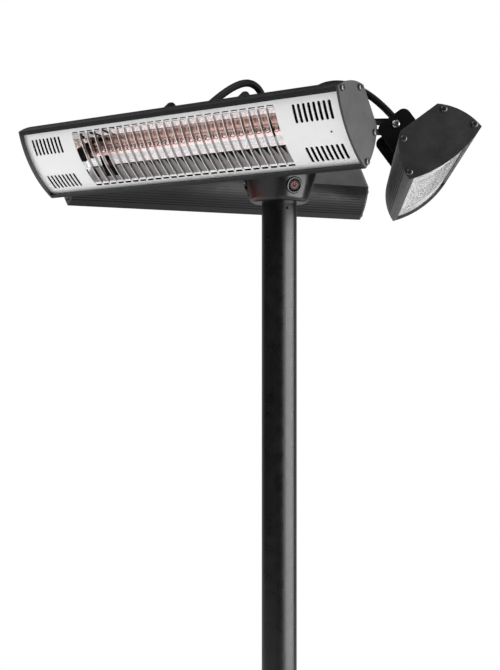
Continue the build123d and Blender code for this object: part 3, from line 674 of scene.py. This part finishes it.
for side in HEADS:
    place = head_frame(side)
    body = f"head_{side}"

    shell = Shell()
    for end in (1, -1):
        out = placed((0, 0, 0), (0, 1, 0), (end, 0, 0))
        for number, (depth, height) in enumerate(SCREW_POINTS):
            spot = Matrix.Translation((end * HEAD_HALF, height, depth))
            turned = Matrix.Rotation(radians(20 + 31 * number + 13 * end), 4, "Z")
            screw(shell, place @ spot @ Matrix.Scale(1 / MM, 4) @ out @ turned, 4.25, 2.6, 1.7, 12, PAN_CROSS)
    rivet = place @ shifted(*RIVET_SPOT, bow(RIVET_SPOT[1], FACE_RECESS))
    shell.lathe(rivet, [(1.3, -0.3), (1.3, 0.15), (0.8, 0.4)])
    add_piece(f"end_plate_screws_{side}", shell, [dark_steel], body, "screw_steel", f"end_screws_{side}")

    shell = Shell()
    across, up = BRACKET_SCREWS
    for x in (-across, across):
        for y in (-up, up):
            screw(shell, place @ shifted(x, y, BACK_DEPTH - PLATE) @ FLIPPED, 4.5, 3, 2.5, 9, BIG_CROSS)
    add_piece(f"bracket_screws_{side}", shell, [dark_steel], body, "screw_steel", f"yoke_screws_{side}")

    # heating coil with straight tails to the lamp's ends
    shell = Shell()
    turns = 2 * (COIL_HALF_LENGTH - 6) / COIL_PITCH
    steps = round(turns * 14)
    points = [(-COIL_HALF_LENGTH, 0, LAMP_DEPTH)]
    for k in range(steps + 1):
        angle = 2 * pi * turns * k / steps
        points.append((-COIL_HALF_LENGTH + 6 + k / steps * turns * COIL_PITCH,
                       COIL_RADIUS * cos(angle), LAMP_DEPTH + COIL_RADIUS * sin(angle)))
    points.append((COIL_HALF_LENGTH, 0, LAMP_DEPTH))
    shell.tube(place, points, COIL_WIRE)
    add_piece(f"coil_{side}", shell, [coil_metal], body, "filament", f"filament_{side}")

    # strain relief: hexagon, ribbed clamping nut, thread and inner nut
    shell = Shell()
    back = place @ shifted(0, LEAD_OFFSET, BACK_DEPTH) @ FLIPPED
    shell.hex_head(back, GLAND_FLATS, 5)
    shell.stack(back, [ribbed(9, 5, 0.5), ribbed(9, 9, 0.5), ribbed(8.4, 11.5, 0.4), ring(7.4, 13.5), ring(6.6, 15.6),
                       ring(6.2, HEAD_GLAND_LENGTH), ring(4.6, HEAD_GLAND_LENGTH)])
    shell.lathe(back, [(8, 0.01), (8, -2)])
    shell.hex_head(back @ shifted(0, 0, -2) @ FLIPPED, GLAND_FLATS, 4)
    add_piece(f"strain_relief_{side}", shell, [black_plastic], body, "gland_plastic", f"head_gland_{side}")

    # pivot bolts with washers and nuts
    shell = Shell()
    for end in (1, -1):
        axis = arm_frame(side) @ shifted(0, PIVOT_RADIUS, 0) @ Matrix.Scale(1 / MM, 4) @ placed(
            (0, 0, 0), (0, 1, 0), (end, 0, 0))
        seat = EAR_OFFSET + 0.1
        shell.head(axis @ shifted(0, 0, seat), 5.75, 4, HEX_DRIVE, 2.2)
        shell.lathe(axis, [(4, TAB_FACE), (4, seat + 0.01)])
        shell.lathe(axis, [(3, TAB_FACE - PLATE - 6.6), (3, TAB_FACE)])
        shell.lathe(axis, [(5.6, TAB_FACE), (5.75, TAB_FACE + 0.2), (5.75, TAB_FACE + 0.7), (5.6, TAB_FACE + 0.9)])
        shell.lathe(axis, [(5.4, TAB_FACE - PLATE - 6), (5.75, TAB_FACE - PLATE - 5.4), (5.75, TAB_FACE - PLATE - 0.4),
                           (5.4, TAB_FACE - PLATE)])
    add_piece(f"pivot_hardware_{side}", shell, [steel], "tower", "screw_steel", f"pivot_bolts_{side}")


# ---- leads: smooth tubes from the lid to the heads, shaped for each head's set tilt ----
def make_lead(side):
    heading, tilt = HEADS[side]
    crest = LEAD_CRESTS[side]
    slope = radians(tilt)
    mouth = BACK_DEPTH - HEAD_GLAND_LENGTH
    start_height = ARM_UNDERSIDE + RELIEF_HEIGHT
    end_reach = PIVOT_RADIUS + mouth * cos(slope) + LEAD_OFFSET * sin(slope)
    end_height = LEAD_OFFSET * cos(slope) - mouth * sin(slope)
    knee_reach = end_reach - (crest - end_height) / tan(slope)
    corners = [(GLAND_RADIUS, start_height), (GLAND_RADIUS, crest), (knee_reach, crest), (end_reach, end_height)]
    points = [(outward(heading) * reach + Vector((0, 0, PIVOT_HEIGHT + height))) * MM for reach, height in corners]
    curve = bpy.data.curves.new(f"route_{side}", "CURVE")
    curve.dimensions = "3D"
    curve.resolution_u = 28
    curve.bevel_depth = LEAD_DIAMETER / 2 * MM
    curve.bevel_resolution = 7
    curve.use_fill_caps = True
    spline = curve.splines.new("NURBS")
    spline.points.add(len(points) - 1)
    for point, place in zip(spline.points, points):
        point.co = (*place, 1)
    spline.order_u = 3
    spline.use_endpoint_u = True
    route = bpy.data.objects.new(f"route_{side}", curve)
    bpy.context.scene.collection.objects.link(route)
    bpy.context.view_layer.update()
    mesh = bpy.data.meshes.new_from_object(route.evaluated_get(bpy.context.evaluated_depsgraph_get()))
    bpy.data.objects.remove(route)
    mesh.materials.clear()
    finish_mesh(mesh, 50)
    lead = add_object(f"cable_{side}", mesh, [black_rubber])
    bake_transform(lead)
    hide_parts(f"lead_{side}")


for side in HEADS:
    make_lead(side)

# ---- hub: fixings and strain reliefs on the lid ----
lid_top = HUB_HEIGHT + PLATE
arm_top = lid_top + PLATE
shell = Shell()
for side, (heading, tilt) in HEADS.items():
    arm = HUB_FRAME @ Matrix.Rotation(radians(heading - 90), 4, "Z")
    for x, y in ARM_BOLTS:
        shell.hex_head(arm @ shifted(x, y, arm_top), 10, 4)
        shell.lathe(arm @ shifted(x, y, 0), [(3, HUB_HEIGHT - 6.4), (3, arm_top + 0.01)])
        shell.hex_head(arm @ shifted(x, y, HUB_HEIGHT) @ FLIPPED, 10, 5)
for heading in SWITCH_HEADINGS:
    out = outward(heading) * LUG_CIRCLE
    screw(shell, HUB_FRAME @ shifted(out.x, out.y, lid_top), 4, 2.4, 2, 11, PAN_CROSS)
add_piece("lid_bolts", shell, [steel], "tower", "screw_steel", "lid_fixings")

shell = Shell()
for side, (heading, tilt) in HEADS.items():
    out = outward(heading) * GLAND_RADIUS
    spot = HUB_FRAME @ shifted(out.x, out.y, lid_top)
    shell.hex_head(spot, GLAND_FLATS, 5)
    shell.stack(spot, [ribbed(9, 5, 0.5), ribbed(9, 7.5, 0.5), ribbed(8.4, 9, 0.4), ring(7.2, 10.4),
                       ring(6.4, RELIEF_HEIGHT), ring(4.6, RELIEF_HEIGHT)])
    shell.lathe(spot, [(8, -PLATE), (8, 0.01)])
    shell.hex_head(spot @ shifted(0, 0, -PLATE) @ FLIPPED, GLAND_FLATS, 5)
add_piece("lid_strain_reliefs", shell, [black_plastic], "tower", "gland_plastic", "lid_glands")

# ---- switches: chromed bezel, nut and lit cap with a power symbol ----
shell = Shell()
for heading in SWITCH_HEADINGS:
    place = switch_frame(heading)
    shell.lathe(place, [(9.5, -28), (9.5, -0.02), (12, 0), (12, 1.5), (11.7, 2.1), (11.1, 2.5), (10.3, BEZEL_HEIGHT),
                        (9.7, 2.5), (8.9, 2.0), (8.2, 1.5), (7.85, 1.2), (7.85, -5.1)])
    shell.hex_head(place @ shifted(0, 0, -5) @ FLIPPED, 22, 5)
add_piece("switch_bezels", shell, [chrome], "tower", "switch_chrome", "switch_bodies")

for number, heading in enumerate(SWITCH_HEADINGS, start=1):
    place = switch_frame(heading)
    shell = Shell()
    shell.lathe(place, [(7.8, CAP_TOP - 4.6), (7.8, CAP_TOP - 0.7), (7.5, CAP_TOP - 0.3), (6.9, CAP_TOP - 0.1),
                        (5.8, CAP_TOP - 0.04), (3, CAP_TOP - 0.02)])
    shell.band(place, 3.5, 4.6, 125, 415, CAP_TOP - 0.05, CAP_TOP, 1)
    shell.box(place, (-0.55, 0.4, CAP_TOP - 0.05), (0.55, 5.2, CAP_TOP), 1)
    add_piece(f"button_cap_{number}", shell, [cap_red, symbol_red], f"button_{number}", "cap_plastic",
              f"switch_cap_{number}")

# ---- grub screws and the base's bolts ----
shell = Shell()
for heading in SWITCH_HEADINGS:
    spot = radial_frame(heading, HUB_BOTTOM - 9, 0)
    shell.stack(spot, [ring(2, SPIGOT_BORE + 0.5), ring(2, 23.9), ring(1.8, 24.2), level(hexagon(2), 24.2),
                       level(hexagon(2), 22.4, 0.9)])
    spot = radial_frame(heading, BASE_TOP + 60, 0)
    shell.stack(spot, [ring(3, POLE_RADIUS), ring(3, 30), ring(2.7, 30.4), level(hexagon(3), 30.4),
                       level(hexagon(3), 28, 0.9)])
add_piece("set_screws", shell, [black_steel], "tower", "screw_steel", "grub_screws")

shell = Shell()
for quarter in range(4):
    out = outward(45 + 90 * quarter) * SOCKET_BOLT_CIRCLE
    spot = placed((out.x, out.y, BASE_TOP + 8), (1, 0, 0), (0, 0, 1))
    shell.hex_head(spot, 13, 5.3)
    shell.lathe(spot, [(4, -17), (4, 0.01)])
add_piece("socket_bolts", shell, [steel], "tower", "screw_steel", "flange_bolts")


# ---- studio: pale floor, soft lights, camera ----
VIEW_TURN = 34.9           # degrees from +Y towards -X
UP = (0, 0, 1)
BACKDROP = (-sin(radians(VIEW_TURN)), cos(radians(VIEW_TURN)), 0)
FRONT_LEFT = (-0.65, -0.76, 0)
RIGHT = (0.95, 0.3, 0)


def make_floor():
    made = Finish("floor")
    tree = made.tree
    made.set(Base_Color=made.tint(made.noise(2, 2), (0.84, 0.84, 0.84), (0.86, 0.86, 0.86)), Roughness=0.9,
             Specular_IOR_Level=0.1)
    away = add_node(tree, "ShaderNodeVectorMath", {0: made.plain}, operation="LENGTH").outputs["Value"]
    path = add_node(tree, "ShaderNodeLightPath", {})
    seen = add_node(tree, "ShaderNodeMath", {0: path.outputs["Is Camera Ray"], 1: made.between(away, 0, 1, 1.2, 3.4)},
                    operation="MULTIPLY")
    heading = add_node(tree, "ShaderNodeVectorMath", {0: made.plain}, operation="NORMALIZE").outputs["Vector"]
    sectors = [add_node(tree, "ShaderNodeVectorMath", {0: heading, 1: way}, operation="DOT_PRODUCT").outputs["Value"]
               for way in (FRONT_LEFT, RIGHT)]
    # painted light: for glossy rays the floor glows brighter towards the front left and the right, pools of light where
    # the lamps fall
    pale = [made.between(sector, 0.02, 0.9, 0.2, level) for sector, level in zip(sectors, (0.75, 0.3))]
    palest = add_node(tree, "ShaderNodeMath", {0: pale[0], 1: pale[1]}, operation="MAXIMUM").outputs[0]
    both = add_node(tree, "ShaderNodeMath", {0: seen.outputs[0], 1: path.outputs["Is Glossy Ray"]}, operation="MAXIMUM")
    level = add_node(tree, "ShaderNodeMath", {0: palest, 1: path.outputs["Is Camera Ray"]}, operation="MAXIMUM")
    glow = add_node(tree, "ShaderNodeEmission", {"Color": (1, 1, 1, 1), "Strength": level.outputs[0]})
    mix = add_node(tree, "ShaderNodeMixShader", {0: both.outputs[0], 1: made.shader.outputs[0], 2: glow.outputs[0]})
    tree.links.new(mix.outputs[0], tree.nodes["Material Output"].inputs["Surface"])
    return made.material


bpy.ops.mesh.primitive_circle_add(vertices=128, radius=3.6, fill_type="NGON")
floor = bpy.context.object
floor.name = "floor"
floor.data.materials.append(make_floor())


def make_world():
    """Dark room with a pale backdrop at the horizon and a bright ceiling at the front left."""
    world = bpy.data.worlds.new("studio")
    world.use_nodes = True
    tree = world.node_tree
    where = add_node(tree, "ShaderNodeTexCoord", {}).outputs["Generated"]

    def towards(direction, start, end, level):
        aim = add_node(tree, "ShaderNodeVectorMath", {0: where, 1: direction}, operation="DOT_PRODUCT")
        made = add_node(tree, "ShaderNodeMapRange", {"Value": aim.outputs["Value"], "From Min": start,
                                                     "From Max": end, "To Max": level},
                        interpolation_type="SMOOTHSTEP")
        return made.outputs["Result"]

    def combined(operation, first, second):
        return add_node(tree, "ShaderNodeMath", {0: first, 1: second}, operation=operation).outputs[0]

    horizon = combined("MULTIPLY", towards(BACKDROP, 0.3, 0.85, 0.32), towards(UP, 0.6, 0.2, 1.0))
    ceiling = combined("MULTIPLY", towards(FRONT_LEFT, 0.1, 0.6, 1.0), towards(UP, 0.1, 0.6, 1.0))
    sectors = combined("ADD", towards(FRONT_LEFT, 0.1, 0.6, 0.9), towards(RIGHT, 0.4, 0.8, 0.7))
    ground = combined("MULTIPLY", sectors, towards(UP, -0.22, -0.4, 1.0))
    lit = combined("ADD", combined("ADD", horizon, ceiling), combined("ADD", ground, 0.02))
    path = add_node(tree, "ShaderNodeLightPath", {})
    shown = combined("MAXIMUM", lit, path.outputs["Is Camera Ray"])
    put(tree, tree.nodes["Background"].inputs["Color"], (1, 1, 1, 1))
    put(tree, tree.nodes["Background"].inputs["Strength"], shown)
    return world


bpy.context.scene.world = make_world()


def add_panel(name, heading, distance, height, width, tall, power, aim=(0, 0, 1.85), mirrored=True):
    """Soft rectangular light that looks at a point on the tower."""
    lamp = bpy.data.lights.new(name, "AREA")
    lamp.shape = "RECTANGLE"
    lamp.size, lamp.size_y, lamp.energy = width, tall, power
    obj = bpy.data.objects.new(name, lamp)
    bpy.context.scene.collection.objects.link(obj)
    obj.location = outward(heading) * distance + Vector((0, 0, height))
    obj.rotation_euler = (obj.location - Vector(aim)).to_track_quat("Z", "Y").to_euler()
    obj.visible_glossy = mirrored


add_panel("right_softbox", 10, 2.6, 1.75, 3.5, 3.0, 150)
add_panel("rear_panel", 46, 1.1, 4.2, 1.2, 1.2, 14)
add_panel("top_panel", 200, 1.2, 4.2, 2.2, 2.2, 17)
add_panel("face_fill", 222, 2.4, 1.8, 1.6, 1.6, 36, aim=(0, -0.25, 2.1), mirrored=False)
add_panel("floor_wash", 228, 1.9, 1.0, 2.4, 2.4, 14, aim=(-1.3, -1.45, 0))

camera = bpy.data.cameras.new("camera")
camera.sensor_fit = "HORIZONTAL"
camera.sensor_width = 36
camera.lens = 82.46
viewer = bpy.data.objects.new("camera", camera)
bpy.context.scene.collection.objects.link(viewer)
viewer.location = (0.9018, -1.3657, 1.7928)
viewer.rotation_euler = (radians(90), 0, radians(VIEW_TURN))
bpy.context.scene.camera = viewer
bpy.context.scene.view_settings.view_transform = "Standard"
